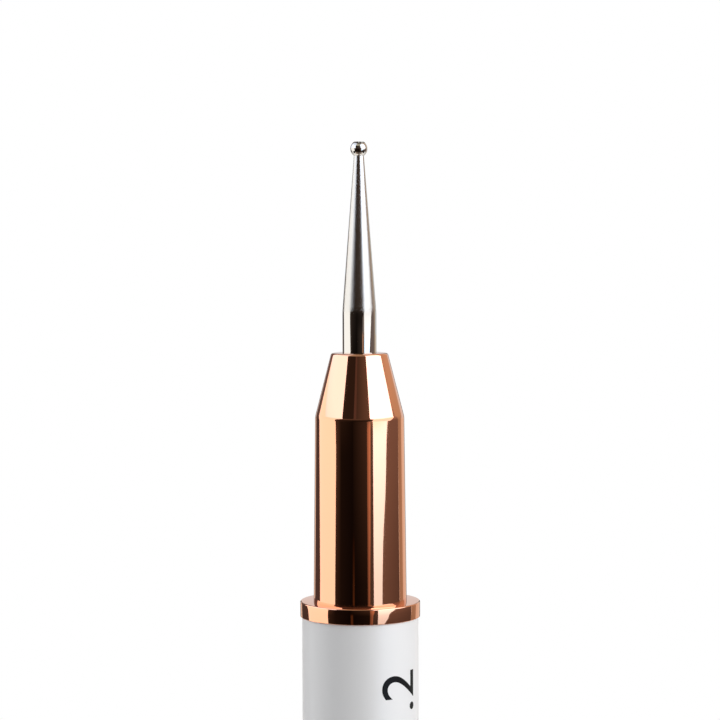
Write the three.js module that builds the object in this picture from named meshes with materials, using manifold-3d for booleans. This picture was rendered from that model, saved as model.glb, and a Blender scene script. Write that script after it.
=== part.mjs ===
// Double-ended nail brush: a ball-tipped dotting needle at one end of a white handle and a
// pointed round brush at the other, each held in a turned rose-gold fitting. A clear cap
// pushes onto the brush end. The tool is held upright by its handle, with the dotting ball
// at the top and the origin in the middle of the handle, where it is gripped. All sizes are
// in millimetres and +Z is up.
import * as THREE from "three";
import { mergeVertices } from "three/addons/utils/BufferGeometryUtils.js";
import Module from "manifold-3d";

const wasm = await Module();
wasm.setup();

// Handle: a straight lacquered tube
const HANDLE_DIAMETER = 8.25;
const HANDLE_LENGTH = 112;
const HANDLE_WALL = 0.7;
const HANDLE_EDGE = 0.1;

// End fitting: tenon inside the handle, collar, slightly tapered barrel and nose cone. The
// collar's shoulder is as wide as the wall of the cap that stops against it.
const COLLAR_LIP = 0.125; // how far the collar stands proud of the handle
const COLLAR_LENGTH = 1.1;
const COLLAR_EDGE = 0.08;
const BARREL_DRAFT = 0.15; // loss of radius from the collar to the cone
const BARREL_LENGTH = 13.1;
const CONE_LENGTH = 4.5;
const NOSE_DIAMETER = 4;
const NOSE_EDGE = 0.15;
const NOSE_LAND = 3; // depth of solid metal round the shank at the nose
const TENON_LENGTH = 9;
const TENON_CLEARANCE = 0.03;
const TENON_CHAMFER = 0.4;
const GLUE_GROOVE_COUNT = 2;
const GLUE_GROOVE_WIDTH = 0.8;
const GLUE_GROOVE_DEPTH = 0.25;
const GLUE_GROOVE_PITCH = 3;

// Plug: the moulded core inside each fitting that grips the shank of its tool
const PLUG_DIAMETER = 4.56;
const PLUG_CLEARANCE = 0.02;
const PLUG_END_GAP = 0.3;
const PLUG_CHAMFER = 0.3;
const PLUG_FLANGE_CLEARANCE = 0.225; // round the flange, inside the handle
const PLUG_FLANGE_LENGTH = 1;
const PLUG_VENT_DIAMETER = 1.6;

// Dotting needle and ball
const SHANK_DIAMETER = 2.4;
const SHANK_CLEARANCE = 0.02;
const SHANK_HELD = 14; // length of shank inside the fitting, at both ends
const SHANK_CHAMFER = 0.2;
const NEEDLE_STRAIGHT = 2.9; // straight shank that shows above the nose
const NEEDLE_TAPER = 10.97;
const NEEDLE_NECK_DIAMETER = 0.7;
const BALL_DIAMETER = 1.2;
const BALL_TIP_FLAT = 0.09; // how much polishing has flattened the tip of the ball

// Hair ferrule: thin drawn tube round the roots of the hair
const FERRULE_WALL = 0.15;
const FERRULE_STRAIGHT = 2.2; // straight tube that shows beyond the nose, with the crimps
const FERRULE_TAPER = 2.8;
const FERRULE_MOUTH_DIAMETER = 2.1;
const FERRULE_CRIMP_COUNT = 2;
const FERRULE_CRIMP_WIDTH = 0.3;
const FERRULE_CRIMP_DEPTH = 0.06;
const FERRULE_CRIMP_PITCH = 0.7;
const FERRULE_CRIMP_OFFSET = 0.7; // first crimp's middle beyond the nose

// Resin that bonds the hair roots
const RESIN_CLEARANCE = 0.02;
const RESIN_LENGTH = 6;
const RESIN_DEPTH = 1.2; // top of the resin below the ferrule mouth
const ROOT_SLICE = 0.6; // top slice of the resin, which carries the strands
const ROOT_DEPTH = 0.5; // how far the strands reach down into the slice

// Tuft: a pointed round of strands that leave the mouth, swell to a belly and close to a tip
const STRAND_COUNT = 300;
const STRAND_DIAMETER = 0.062;
const STRAND_SHOULDER_DIAMETER = 0.044;
const TUFT_ROOT_DIAMETER = 1.56;
const TUFT_BELLY_DIAMETER = 1.92;
const TUFT_SHOULDER_DIAMETER = 1.3;
const TUFT_TIP_DIAMETER = 0.2;
const TUFT_BELLY_HEIGHT = 2.4; // heights are measured from the ferrule mouth
const TUFT_SHOULDER_HEIGHT = 5.6;
const TUFT_LENGTH = 9.5;
const TUFT_EDGE_SHORTFALL = 2.6; // how much shorter the outermost strands are
const TUFT_RAGGEDNESS = 0.35; // spread of strand lengths

// Clear push-on cap
const CAP_WALL = 0.81; // at the mouth
const CAP_DRAFT = 0.1; // taper of the outside and of the bore, on the radius
const CAP_END_WALL = 1.5;
const CAP_TIP_ROOM = 2.2; // free space beyond the tip of the tuft
const CAP_END_ROUND = 0.6;
const CAP_BORE_ROUND = 0.5;
const CAP_MOUTH_EDGE = 0.1;
const CAP_FIT = 0.04; // gap between the grip ribs and the barrel
const CAP_RIB_COUNT = 6;
const CAP_RIB_HEIGHT = 0.1;
const CAP_RIB_WIDTH = 0.5;
const CAP_RIB_LENGTH = 8;
const CAP_RIB_SETBACK = 0.6; // from the mouth to the start of the ribs

// Facets round each kind of piece
const BODY_FACETS = 40;
const SHANK_FACETS = 24;
const ROUND_STEPS = 3; // facets across a small rounded edge
const BALL_STEPS = 14;
const FLATNESS = 1e-5; // least difference that counts when facets are compared

// Radii and heights that several pieces share. Each end has its own frame: 0 is the end face
// of the handle and +Z points away from the handle.
const handleRadius = HANDLE_DIAMETER / 2;
const handleBore = handleRadius - HANDLE_WALL;
const collarRadius = handleRadius + COLLAR_LIP;
const capBore = collarRadius - CAP_WALL;
const barrelRoot = capBore - CAP_RIB_HEIGHT - CAP_FIT;
const barrelTop = barrelRoot - BARREL_DRAFT;
const plugRadius = PLUG_DIAMETER / 2;
const shankRadius = SHANK_DIAMETER / 2;
const barrelEnd = COLLAR_LENGTH + BARREL_LENGTH;
const noseEnd = barrelEnd + CONE_LENGTH;
const shankEnd = noseEnd - SHANK_HELD;
const ferruleMouth = noseEnd + FERRULE_STRAIGHT + FERRULE_TAPER;
const tuftTip = ferruleMouth + TUFT_LENGTH;
const capLength = tuftTip + CAP_TIP_ROOM + CAP_END_WALL - COLLAR_LENGTH;

// Points of a quarter-round edge, from one tangent point to the other.
function roundEdge(centreRadius, centreHeight, radius, fromAngle, toAngle) {
  return Array.from({ length: ROUND_STEPS + 1 }, (_, i) => {
    const angle = fromAngle + ((toAngle - fromAngle) * i) / ROUND_STEPS;
    return [centreRadius + radius * Math.cos(angle), centreHeight + radius * Math.sin(angle)];
  });
}

// A solid of revolution about Z. The profile is a list of [radius, height] points that runs
// up the outside and back down the inside or the axis.
function revolve(profile, facets) {
  const points = profile.map(([radius, height]) => new THREE.Vector2(radius, height));
  const [first, last] = [points[0], points[points.length - 1]];
  const onAxis = first.x === 0 && last.x === 0;
  if (!onAxis) points.push(first.clone());
  return new THREE.LatheGeometry(points, facets).rotateX(Math.PI / 2);
}

// A geometry as a manifold solid, and back.
function toSolid(geometry) {
  const bare = geometry.clone();
  bare.deleteAttribute("normal");
  bare.deleteAttribute("uv");
  const merged = mergeVertices(bare, 1e-4);
  return new wasm.Manifold(
    new wasm.Mesh({
      numProp: 3,
      vertProperties: new Float32Array(merged.attributes.position.array),
      triVerts: new Uint32Array(merged.index.array),
    }),
  );
}

function toGeometry(solid) {
  const mesh = solid.getMesh();
  const geometry = new THREE.BufferGeometry();
  geometry.setAttribute("position", new THREE.BufferAttribute(mesh.vertProperties, 3));
  geometry.setIndex(new THREE.BufferAttribute(mesh.triVerts, 1));
  geometry.computeVertexNormals();
  return geometry;
}

// Profile points of a row of square-bottomed grooves in a cylinder, listed upwards.
function grooves(radius, firstMiddle, count, pitch, width, depth) {
  const points = [];
  for (let i = 0; i < count; i++) {
    const middle = firstMiddle + i * pitch;
    points.push([radius, middle - width / 2]);
    points.push([radius - depth, middle - width / 4]);
    points.push([radius - depth, middle + width / 4]);
    points.push([radius, middle + width / 2]);
  }
  return points;
}

// Straight lacquered tube, edges just broken, standing on its lower end.
function handleTube() {
  return revolve(
    [
      [handleBore, 0],
      [handleRadius - HANDLE_EDGE, 0],
      [handleRadius, HANDLE_EDGE],
      [handleRadius, HANDLE_LENGTH - HANDLE_EDGE],
      [handleRadius - HANDLE_EDGE, HANDLE_LENGTH],
      [handleBore, HANDLE_LENGTH],
    ],
    BODY_FACETS,
  );
}

// Turned and plated fitting, bored from the tenon end for the plug and through the nose for
// the shank.
function endFitting() {
  const tenonRadius = handleBore - TENON_CLEARANCE;
  const bore = plugRadius + PLUG_CLEARANCE;
  const noseHole = shankRadius + SHANK_CLEARANCE;
  const noseRadius = NOSE_DIAMETER / 2;
  const grooveSpan = (GLUE_GROOVE_COUNT - 1) * GLUE_GROOVE_PITCH;
  const coneAngle = Math.atan2(barrelTop - noseRadius, CONE_LENGTH);
  return revolve(
    [
      [bore, -TENON_LENGTH],
      [tenonRadius - TENON_CHAMFER, -TENON_LENGTH],
      [tenonRadius, TENON_CHAMFER - TENON_LENGTH],
      ...grooves(
        tenonRadius,
        -(TENON_LENGTH + grooveSpan) / 2,
        GLUE_GROOVE_COUNT,
        GLUE_GROOVE_PITCH,
        GLUE_GROOVE_WIDTH,
        GLUE_GROOVE_DEPTH,
      ),
      [tenonRadius, 0],
      [collarRadius - COLLAR_EDGE, 0],
      [collarRadius, COLLAR_EDGE],
      [collarRadius, COLLAR_LENGTH - COLLAR_EDGE],
      [collarRadius - COLLAR_EDGE, COLLAR_LENGTH],
      [barrelRoot, COLLAR_LENGTH],
      [barrelTop, barrelEnd],
      ...roundEdge(noseRadius - NOSE_EDGE, noseEnd - NOSE_EDGE, NOSE_EDGE, coneAngle, Math.PI / 2),
      [noseHole, noseEnd],
      [noseHole, noseEnd - NOSE_LAND],
      [bore, noseEnd - NOSE_LAND],
    ],
    BODY_FACETS,
  );
}

// Moulded core, pushed in from the tenon end until its flange meets the tenon. The shank
// stands on the step in its bore, and the narrow vent below lets spare glue out.
function gripPlug() {
  const top = noseEnd - NOSE_LAND - PLUG_END_GAP;
  const shankBore = shankRadius + SHANK_CLEARANCE;
  const vent = PLUG_VENT_DIAMETER / 2;
  const flange = handleBore - PLUG_FLANGE_CLEARANCE;
  return revolve(
    [
      [vent, -TENON_LENGTH - PLUG_FLANGE_LENGTH],
      [flange, -TENON_LENGTH - PLUG_FLANGE_LENGTH],
      [flange, -TENON_LENGTH],
      [plugRadius, -TENON_LENGTH],
      [plugRadius, top - PLUG_CHAMFER],
      [plugRadius - PLUG_CHAMFER, top],
      [shankBore, top],
      [shankBore, shankEnd],
      [vent, shankEnd],
    ],
    SHANK_FACETS,
  );
}

// Ground steel pin: straight shank, then a straight taper to the neck under the ball.
function dottingNeedle() {
  const straightEnd = noseEnd + NEEDLE_STRAIGHT;
  return revolve(
    [
      [0, shankEnd],
      [shankRadius - SHANK_CHAMFER, shankEnd],
      [shankRadius, shankEnd + SHANK_CHAMFER],
      [shankRadius, straightEnd],
      [NEEDLE_NECK_DIAMETER / 2, straightEnd + NEEDLE_TAPER],
      [0, straightEnd + NEEDLE_TAPER],
    ],
    SHANK_FACETS,
  );
}

// Ball welded on the neck: a sphere cut flat where the neck's end face meets it, and polished
// a little flat at the tip that touches the nail.
function dottingBall() {
  const radius = BALL_DIAMETER / 2;
  const tipReach = radius - BALL_TIP_FLAT;
  const neckAngle = Math.acos(NEEDLE_NECK_DIAMETER / BALL_DIAMETER);
  const tipAngle = Math.asin(tipReach / radius);
  const neckEnd = noseEnd + NEEDLE_STRAIGHT + NEEDLE_TAPER;
  const centre = neckEnd + radius * Math.sin(neckAngle);
  const profile = [[0, neckEnd]];
  for (let i = 0; i <= BALL_STEPS; i++) {
    const angle = -neckAngle + ((tipAngle + neckAngle) * i) / BALL_STEPS;
    profile.push([radius * Math.cos(angle), centre + radius * Math.sin(angle)]);
  }
  profile.push([0, centre + tipReach]);
  return revolve(profile, SHANK_FACETS);
}

// Bore of the hair ferrule at a height: straight, then closing towards the mouth.
function ferruleBore(height) {
  const straight = shankRadius - FERRULE_WALL;
  const mouth = FERRULE_MOUTH_DIAMETER / 2 - FERRULE_WALL;
  const share = (height - (ferruleMouth - FERRULE_TAPER)) / FERRULE_TAPER;
  return straight + (mouth - straight) * Math.max(0, share);
}

// Thin tube with two rolled crimps next to the nose and a tapered mouth.
function hairFerrule() {
  const taperStart = ferruleMouth - FERRULE_TAPER;
  return revolve(
    [
      [ferruleBore(shankEnd), shankEnd],
      [shankRadius, shankEnd],
      ...grooves(
        shankRadius,
        noseEnd + FERRULE_CRIMP_OFFSET,
        FERRULE_CRIMP_COUNT,
        FERRULE_CRIMP_PITCH,
        FERRULE_CRIMP_WIDTH,
        FERRULE_CRIMP_DEPTH,
      ),
      [shankRadius, taperStart],
      [FERRULE_MOUTH_DIAMETER / 2, ferruleMouth],
      [ferruleBore(ferruleMouth), ferruleMouth],
      [ferruleBore(taperStart), taperStart],
    ],
    SHANK_FACETS,
  );
}

// A slug of resin that fills the ferrule between two heights.
function resinBetween(low, high) {
  const taperStart = ferruleMouth - FERRULE_TAPER;
  const levels = [low, taperStart, high].filter((h, i) => i !== 1 || (h > low && h < high));
  const side = levels.map((height) => [ferruleBore(height) - RESIN_CLEARANCE, height]);
  return revolve([[0, low], ...side, [0, high]], SHANK_FACETS);
}

// Width of the whole tuft at a height, as straight runs between its named widths.
const sliceTop = ferruleMouth - RESIN_DEPTH;
const rootHeight = sliceTop - ROOT_DEPTH;
const bellyHeight = ferruleMouth + TUFT_BELLY_HEIGHT;
const shoulderHeight = ferruleMouth + TUFT_SHOULDER_HEIGHT;

// One strand: a three-sided hair, from inside the slice to its own tip. Every strand keeps
// its own share of the tuft's width at each height, so no two ever cross.
function addStrand(positions, index) {
  const spread = Math.sqrt((index + 0.5) / STRAND_COUNT);
  const goldenAngle = Math.PI * (3 - Math.sqrt(5));
  const direction = index * goldenAngle;
  const lengthJitter = TUFT_RAGGEDNESS * ((index * 0.618034) % 1);
  const tipHeight = tuftTip - TUFT_EDGE_SHORTFALL * spread * spread - lengthJitter * spread;
  const tipShare = (tipHeight - shoulderHeight) / (tuftTip - shoulderHeight);
  const tipWidth = THREE.MathUtils.lerp(TUFT_SHOULDER_DIAMETER, TUFT_TIP_DIAMETER, tipShare);
  const middleAt = (tuftWidth, height) => {
    const reach = (spread * tuftWidth) / 2;
    return new THREE.Vector3(reach * Math.cos(direction), reach * Math.sin(direction), height);
  };
  const ring = (tuftWidth, height, strandWidth) => {
    const middle = middleAt(tuftWidth, height);
    return [0, 1, 2].map((corner) => {
      const angle = direction + (corner * 2 * Math.PI) / 3;
      const out = new THREE.Vector3(Math.cos(angle), Math.sin(angle), 0);
      return middle.clone().addScaledVector(out, strandWidth / 2);
    });
  };
  const rings = [
    ring(TUFT_ROOT_DIAMETER, rootHeight, STRAND_DIAMETER),
    ring(TUFT_BELLY_DIAMETER, bellyHeight, STRAND_DIAMETER),
    ring(TUFT_SHOULDER_DIAMETER, shoulderHeight, STRAND_SHOULDER_DIAMETER),
  ];
  const tip = middleAt(tipWidth, tipHeight);
  const face = (...corners) => corners.forEach((p) => positions.push(p.x, p.y, p.z));
  face(rings[0][2], rings[0][1], rings[0][0]);
  for (let level = 0; level < rings.length; level++) {
    for (let side = 0; side < 3; side++) {
      const next = (side + 1) % 3;
      const lower = rings[level];
      const upper = rings[level + 1];
      if (upper) {
        face(lower[side], lower[next], upper[next]);
        face(lower[side], upper[next], upper[side]);
      } else {
        face(lower[side], lower[next], tip);
      }
    }
  }
}

// Swaps the shared side of two facets that lie flat at a height wherever that makes the
// narrower of the two wider, so that the flat face round the strands has no slivers.
function widenFlatFacets(geometry, height) {
  const { position } = geometry.attributes;
  const corners = geometry.index.array;
  const isFlat = (first) =>
    [0, 1, 2].every((k) => Math.abs(position.getZ(corners[first + k]) - height) < FLATNESS);
  const width = (...facet) => {
    const [a, b, c] = facet.map((v) => new THREE.Vector2(position.getX(v), position.getY(v)));
    const twiceArea = b.clone().sub(a).cross(c.clone().sub(a));
    return twiceArea / Math.max(a.distanceTo(b), b.distanceTo(c), c.distanceTo(a));
  };
  const flat = [];
  for (let first = 0; first < corners.length; first += 3) if (isFlat(first)) flat.push(first);
  let swaps = 1;
  while (swaps > 0) {
    swaps = 0;
    const sides = new Map();
    const changed = new Set();
    for (const first of flat) {
      for (let k = 0; k < 3; k++) {
        const [a, b, c] = [0, 1, 2].map((step) => corners[first + ((k + step) % 3)]);
        sides.set(`${a} ${b}`, { first, a, b, c });
      }
    }
    for (const { first, a, b, c } of sides.values()) {
      const other = sides.get(`${b} ${a}`);
      if (!other || changed.has(first) || changed.has(other.first)) continue;
      const d = other.c;
      const now = Math.min(width(a, b, c), width(b, a, d));
      const then = Math.min(width(a, d, c), width(d, b, c));
      if (then <= now + FLATNESS) continue;
      corners.set([a, d, c], first);
      corners.set([d, b, c], other.first);
      changed.add(first).add(other.first);
      swaps += 1;
    }
  }
  return geometry;
}

// The hair: strands in a sunflower spiral, joined to the top slice of the resin.
function hairTuft() {
  const positions = [];
  for (let i = 0; i < STRAND_COUNT; i++) addStrand(positions, i);
  const strands = new THREE.BufferGeometry();
  strands.setAttribute("position", new THREE.Float32BufferAttribute(positions, 3));
  const slice = resinBetween(sliceTop - ROOT_SLICE, sliceTop);
  return widenFlatFacets(toGeometry(toSolid(strands).add(toSolid(slice))), sliceTop);
}

// Clear moulded cap, open at the collar and closed at the far end, with grip ribs in its
// mouth. Its outside is flush with the collar.
function brushCap() {
  const mouth = COLLAR_LENGTH;
  const end = mouth + capLength;
  const boreEnd = end - CAP_END_WALL;
  const endRadius = collarRadius - CAP_DRAFT;
  const boreEndRadius = capBore - CAP_DRAFT;
  const shell = revolve(
    [
      [capBore, mouth],
      [collarRadius - CAP_MOUTH_EDGE, mouth],
      [collarRadius, mouth + CAP_MOUTH_EDGE],
      ...roundEdge(endRadius - CAP_END_ROUND, end - CAP_END_ROUND, CAP_END_ROUND, 0, Math.PI / 2),
      [0, end],
      [0, boreEnd],
      ...roundEdge(
        boreEndRadius - CAP_BORE_ROUND,
        boreEnd - CAP_BORE_ROUND,
        CAP_BORE_ROUND,
        Math.PI / 2,
        0,
      ),
    ],
    BODY_FACETS,
  );
  let cap = toSolid(shell);
  const ribInside = barrelRoot + CAP_FIT;
  const ribOutside = (capBore + collarRadius) / 2;
  for (let i = 0; i < CAP_RIB_COUNT; i++) {
    const rib = new THREE.BoxGeometry(ribOutside - ribInside, CAP_RIB_WIDTH, CAP_RIB_LENGTH);
    const height = mouth + CAP_RIB_SETBACK + CAP_RIB_LENGTH / 2;
    rib.translate((ribOutside + ribInside) / 2, 0, height);
    rib.rotateZ((i * 2 * Math.PI) / CAP_RIB_COUNT);
    cap = cap.add(toSolid(rib));
  }
  return toGeometry(cap);
}

const roseGold = { color: 0xe0a07c, roughness: 0.12, metalness: 1 };
const polishedSteel = { color: 0xc9c6c0, roughness: 0.1, metalness: 1 };
const nylon = { color: 0xe9e4d8, roughness: 0.6, metalness: 0 };

function piece(name, geometry, finish) {
  const mesh = new THREE.Mesh(geometry, new THREE.MeshStandardMaterial(finish));
  mesh.name = name;
  return mesh;
}

const dottingEnd = new THREE.Group();
dottingEnd.add(piece("dotting_end_fitting", endFitting(), roseGold));
dottingEnd.add(piece("dotting_end_plug", gripPlug(), nylon));
dottingEnd.add(piece("dotting_needle", dottingNeedle(), polishedSteel));
dottingEnd.add(piece("dotting_ball", dottingBall(), polishedSteel));

const brushEnd = new THREE.Group();
const resinBottom = sliceTop - ROOT_SLICE - RESIN_LENGTH;
const resinFinish = { color: 0xb08a4a, roughness: 0.3, metalness: 0 };
const hairFinish = { color: 0x7a4a26, roughness: 0.5, metalness: 0 };
const clearFinish = {
  color: 0xf4f7f8,
  roughness: 0.05,
  metalness: 0,
  transparent: true,
  opacity: 0.3,
};
brushEnd.add(piece("brush_end_fitting", endFitting(), roseGold));
brushEnd.add(piece("brush_end_plug", gripPlug(), nylon));
brushEnd.add(piece("hair_ferrule", hairFerrule(), polishedSteel));
brushEnd.add(piece("hair_root_resin", resinBetween(resinBottom, sliceTop - ROOT_SLICE), resinFinish));
brushEnd.add(piece("hair_tuft", hairTuft(), hairFinish));
brushEnd.add(piece("brush_cap", brushCap(), clearFinish));

const handle = piece("handle_tube", handleTube(), { color: 0xf2f2f2, roughness: 0.45, metalness: 0 });
handle.position.z = -HANDLE_LENGTH / 2;
dottingEnd.position.z = HANDLE_LENGTH / 2;
brushEnd.position.z = -HANDLE_LENGTH / 2;
brushEnd.rotation.x = Math.PI;

const brush = new THREE.Group();
brush.add(handle, dottingEnd, brushEnd);
export default brush;
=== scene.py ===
import random
from math import atan2, cos, pi, radians, sin, sqrt

import bmesh
import bpy
from mathutils import Matrix, Vector
from mathutils.geometry import interpolate_bezier


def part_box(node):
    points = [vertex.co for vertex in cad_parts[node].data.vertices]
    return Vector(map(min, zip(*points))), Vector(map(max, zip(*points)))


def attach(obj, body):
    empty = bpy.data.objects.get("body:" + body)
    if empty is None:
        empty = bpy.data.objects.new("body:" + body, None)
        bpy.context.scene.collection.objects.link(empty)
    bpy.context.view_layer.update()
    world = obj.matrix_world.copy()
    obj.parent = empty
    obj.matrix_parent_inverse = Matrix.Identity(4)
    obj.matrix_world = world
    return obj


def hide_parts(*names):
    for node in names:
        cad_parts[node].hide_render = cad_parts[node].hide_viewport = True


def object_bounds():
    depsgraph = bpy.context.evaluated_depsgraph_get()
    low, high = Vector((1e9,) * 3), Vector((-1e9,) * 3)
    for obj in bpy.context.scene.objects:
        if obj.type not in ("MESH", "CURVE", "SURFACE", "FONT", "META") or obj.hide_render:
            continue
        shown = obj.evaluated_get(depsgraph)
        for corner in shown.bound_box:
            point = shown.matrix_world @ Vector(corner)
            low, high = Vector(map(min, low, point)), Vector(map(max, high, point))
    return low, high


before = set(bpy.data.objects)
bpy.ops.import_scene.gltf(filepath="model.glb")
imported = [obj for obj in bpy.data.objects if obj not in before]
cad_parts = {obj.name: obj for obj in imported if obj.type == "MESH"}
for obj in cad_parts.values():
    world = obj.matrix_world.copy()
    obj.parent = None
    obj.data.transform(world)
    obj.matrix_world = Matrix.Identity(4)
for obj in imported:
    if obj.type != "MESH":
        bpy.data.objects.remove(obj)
cad_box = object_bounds()
MM = 0.001

# Camera: a long lens level with the dotting end, looking slightly down, as in the photograph.
# The picture holds the top of the tool only, and the handle runs out of its lower edge.
LENS_MM = 118.94
CAMERA_DISTANCE = 167.8 * MM
CAMERA_BELOW_TIP = 6.39 * MM
CAMERA_PITCH = radians(3.067)
CAMERA_ROLL = radians(-0.17)
CAMERA_ASIDE = 0.035 * MM
CAMERA_NEAR = 10 * MM
CAMERA_FAR = 20.0

tip_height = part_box("dotting_ball")[1].z
camera_data = bpy.data.cameras.new("camera")
camera_data.lens = LENS_MM
camera_data.clip_start = CAMERA_NEAR
camera_data.clip_end = CAMERA_FAR
camera = bpy.data.objects.new("camera", camera_data)
camera.location = (CAMERA_ASIDE, -CAMERA_DISTANCE, tip_height - CAMERA_BELOW_TIP)
camera.rotation_euler = (pi / 2 - CAMERA_PITCH, 0, 0)
camera.rotation_euler.rotate_axis("Z", CAMERA_ROLL)
bpy.context.collection.objects.link(camera)
bpy.context.scene.camera = camera
bpy.context.scene.view_settings.view_transform = "Standard"

# Handle: an extruded ABS tube, sprayed with satin white lacquer, so it has soft broad
# highlights and a faint orange-peel skin. Both ends are covered by the collars.
HANDLE_WALL = 0.7 * MM
HANDLE_EDGE = 0.1 * MM
LACQUER_WHITE = "#E9E9EA"
ORANGE_PEEL_SIZE = 0.9 * MM
ORANGE_PEEL_HEIGHT = 0.0009 * MM
FACETS = 160
EDGE_SEGMENTS = 5
MERGE_DISTANCE = 0.0001 * MM
SHARP_ANGLE = radians(28)


def turned(name, profile, rounded=(), facets=FACETS, position=None):
    """A solid turned about the handle's axis. The profile is (radius, height) pairs, and
    rounded lists (corner, distance) pairs for the corners that are broken or filleted."""
    bm = bmesh.new()
    corners = [bm.verts.new((radius, 0, height)) for radius, height in profile]
    for pair in zip(corners, corners[1:]):
        bm.edges.new(pair)
    if profile[0][0] > 0:
        bm.edges.new((corners[-1], corners[0]))
    for corner, distance in rounded:
        bmesh.ops.bevel(bm, geom=[corners[corner]], offset=distance, offset_type="OFFSET",
                        affect="VERTICES", segments=EDGE_SEGMENTS, profile=0.5, material=-1)
    bmesh.ops.spin(bm, geom=bm.verts[:] + bm.edges[:], cent=(0, 0, 0), axis=(0, 0, 1),
                   angle=2 * pi, steps=facets, use_merge=True)
    bmesh.ops.remove_doubles(bm, verts=bm.verts, dist=MERGE_DISTANCE)
    bmesh.ops.recalc_face_normals(bm, faces=bm.faces)
    if position:
        bmesh.ops.transform(bm, matrix=position, verts=bm.verts)
    return finished(name, bm)


def shade_smooth(bm):
    """Shades a bmesh smooth except across sharp edges."""
    for face in bm.faces:
        face.smooth = True
    for edge in bm.edges:
        edge.smooth = edge.is_manifold and edge.calc_face_angle() < SHARP_ANGLE


def finished(name, bm):
    """The shaded object made from a bmesh."""
    shade_smooth(bm)
    mesh = bpy.data.meshes.new(name)
    bm.to_mesh(mesh)
    bm.free()
    piece = bpy.data.objects.new(name, mesh)
    bpy.context.collection.objects.link(piece)
    return piece


def colour(hex_code):
    """A linear colour from an sRGB hex code."""
    parts = [int(hex_code[i:i + 2], 16) / 255 for i in (1, 3, 5)]
    return tuple(c / 12.92 if c <= 0.04045 else ((c + 0.055) / 1.055) ** 2.4 for c in parts) + (1,)


def add_node(tree, kind, inputs=None, **settings):
    """Adds a node. Each of its inputs is a value, or the output that feeds it."""
    node = tree.nodes.new(kind)
    for key, value in settings.items():
        setattr(node, key, value)
    for key, value in (inputs or {}).items():
        if isinstance(value, bpy.types.NodeSocket):
            tree.links.new(value, node.inputs[key])
        else:
            node.inputs[key].default_value = value
    return node


def surface(name, **inputs):
    """A new material with one Principled shader, and its node tree and shader."""
    material = bpy.data.materials.new(name)
    material.use_nodes = True
    shader = material.node_tree.nodes["Principled BSDF"]
    for key, value in inputs.items():
        shader.inputs[key.replace("_", " ")].default_value = value
    return material, material.node_tree, shader


def bumped(tree, shader, size, height, **noise):
    """Gives a surface soft bumps, about this far apart and this high."""
    place = add_node(tree, "ShaderNodeTexCoord").outputs["Object"]
    bumps = add_node(tree, "ShaderNodeTexNoise", {"Vector": place, "Scale": 1 / size, **noise})
    skin = add_node(tree, "ShaderNodeBump", {"Height": bumps.outputs["Fac"], "Strength": 1.0,
                                             "Distance": height})
    tree.links.new(skin.outputs["Normal"], shader.inputs["Normal"])
    return skin


def ride_as(piece, body, slot, *nodes):
    """Puts a finished piece on its body, in place of its nodes. The slot is not used."""
    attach(piece, body)
    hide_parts(*nodes)


handle_foot, handle_top = (corner.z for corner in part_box("handle_tube"))
handle_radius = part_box("handle_tube")[1].x
handle = turned(
    "handle",
    [
        (handle_radius - HANDLE_WALL, handle_foot),
        (handle_radius, handle_foot),
        (handle_radius, handle_top),
        (handle_radius - HANDLE_WALL, handle_top),
    ],
    rounded=[(1, HANDLE_EDGE), (2, HANDLE_EDGE)],
)

# Satin lacquer: nearly white, a little grey, with a skin that spreads the highlight.
lacquer, tree, shader = surface(
    "satin_white_lacquer",
    Base_Color=colour(LACQUER_WHITE),
    Roughness=0.42,
    Coat_Weight=0.25,
    Coat_Roughness=0.3,
)
bumped(tree, shader, ORANGE_PEEL_SIZE, ORANGE_PEEL_HEIGHT, Detail=2.0, Roughness=0.4)
handle.data.materials.append(lacquer)
ride_as(handle, "brush", "handle_lacquer", "handle_tube")

# End fittings: turned brass, one at each end of the handle, buffed and plated rose gold. The
# tenon is glued into the handle, the collar covers its edge, and the nose holds the shank.
COLLAR_LENGTH = 1.1 * MM
COLLAR_EDGE = 0.09 * MM
COLLAR_FOOT_EDGE = 0.03 * MM
BARREL_ROOT_RADIUS = 3.3 * MM
BARREL_TOP_RADIUS = 3.15 * MM
CONE_LENGTH = 4.5 * MM
CONE_BLEND = 0.15 * MM
NOSE_RADIUS = 2.0 * MM
NOSE_EDGE = 0.16 * MM
NOSE_HOLE_RADIUS = 1.22 * MM
NOSE_LAND = 3 * MM
PLUG_BORE_RADIUS = 2.3 * MM
TENON_GAP = 0.03 * MM
TENON_CHAMFER = 0.4 * MM
ROSE_GOLD = "#F7B48F"
BUFFING_WAVE_SIZE = 4 * MM
BUFFING_WAVE_HEIGHT = 0.008 * MM
TURNING_LINE_SPACING = 1.0053 * MM
TURNING_LINE_HEIGHT = 0.00002 * MM
WAVE_TURN = 20  # radians that the wave texture turns in one unit
HAZE_SIZE = 1.111 * MM
HAZE_ROUGHNESS = (0.03, 0.07)

at_dotting_end = Matrix.Translation((0, 0, handle_top))
at_brush_end = Matrix.Translation((0, 0, handle_foot)) @ Matrix.Rotation(pi, 4, "X")
nose_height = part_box("dotting_end_fitting")[1].z - handle_top
tenon_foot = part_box("dotting_end_fitting")[0].z - handle_top
collar_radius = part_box("dotting_end_fitting")[1].x
tenon_radius = handle_radius - HANDLE_WALL - TENON_GAP


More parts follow.
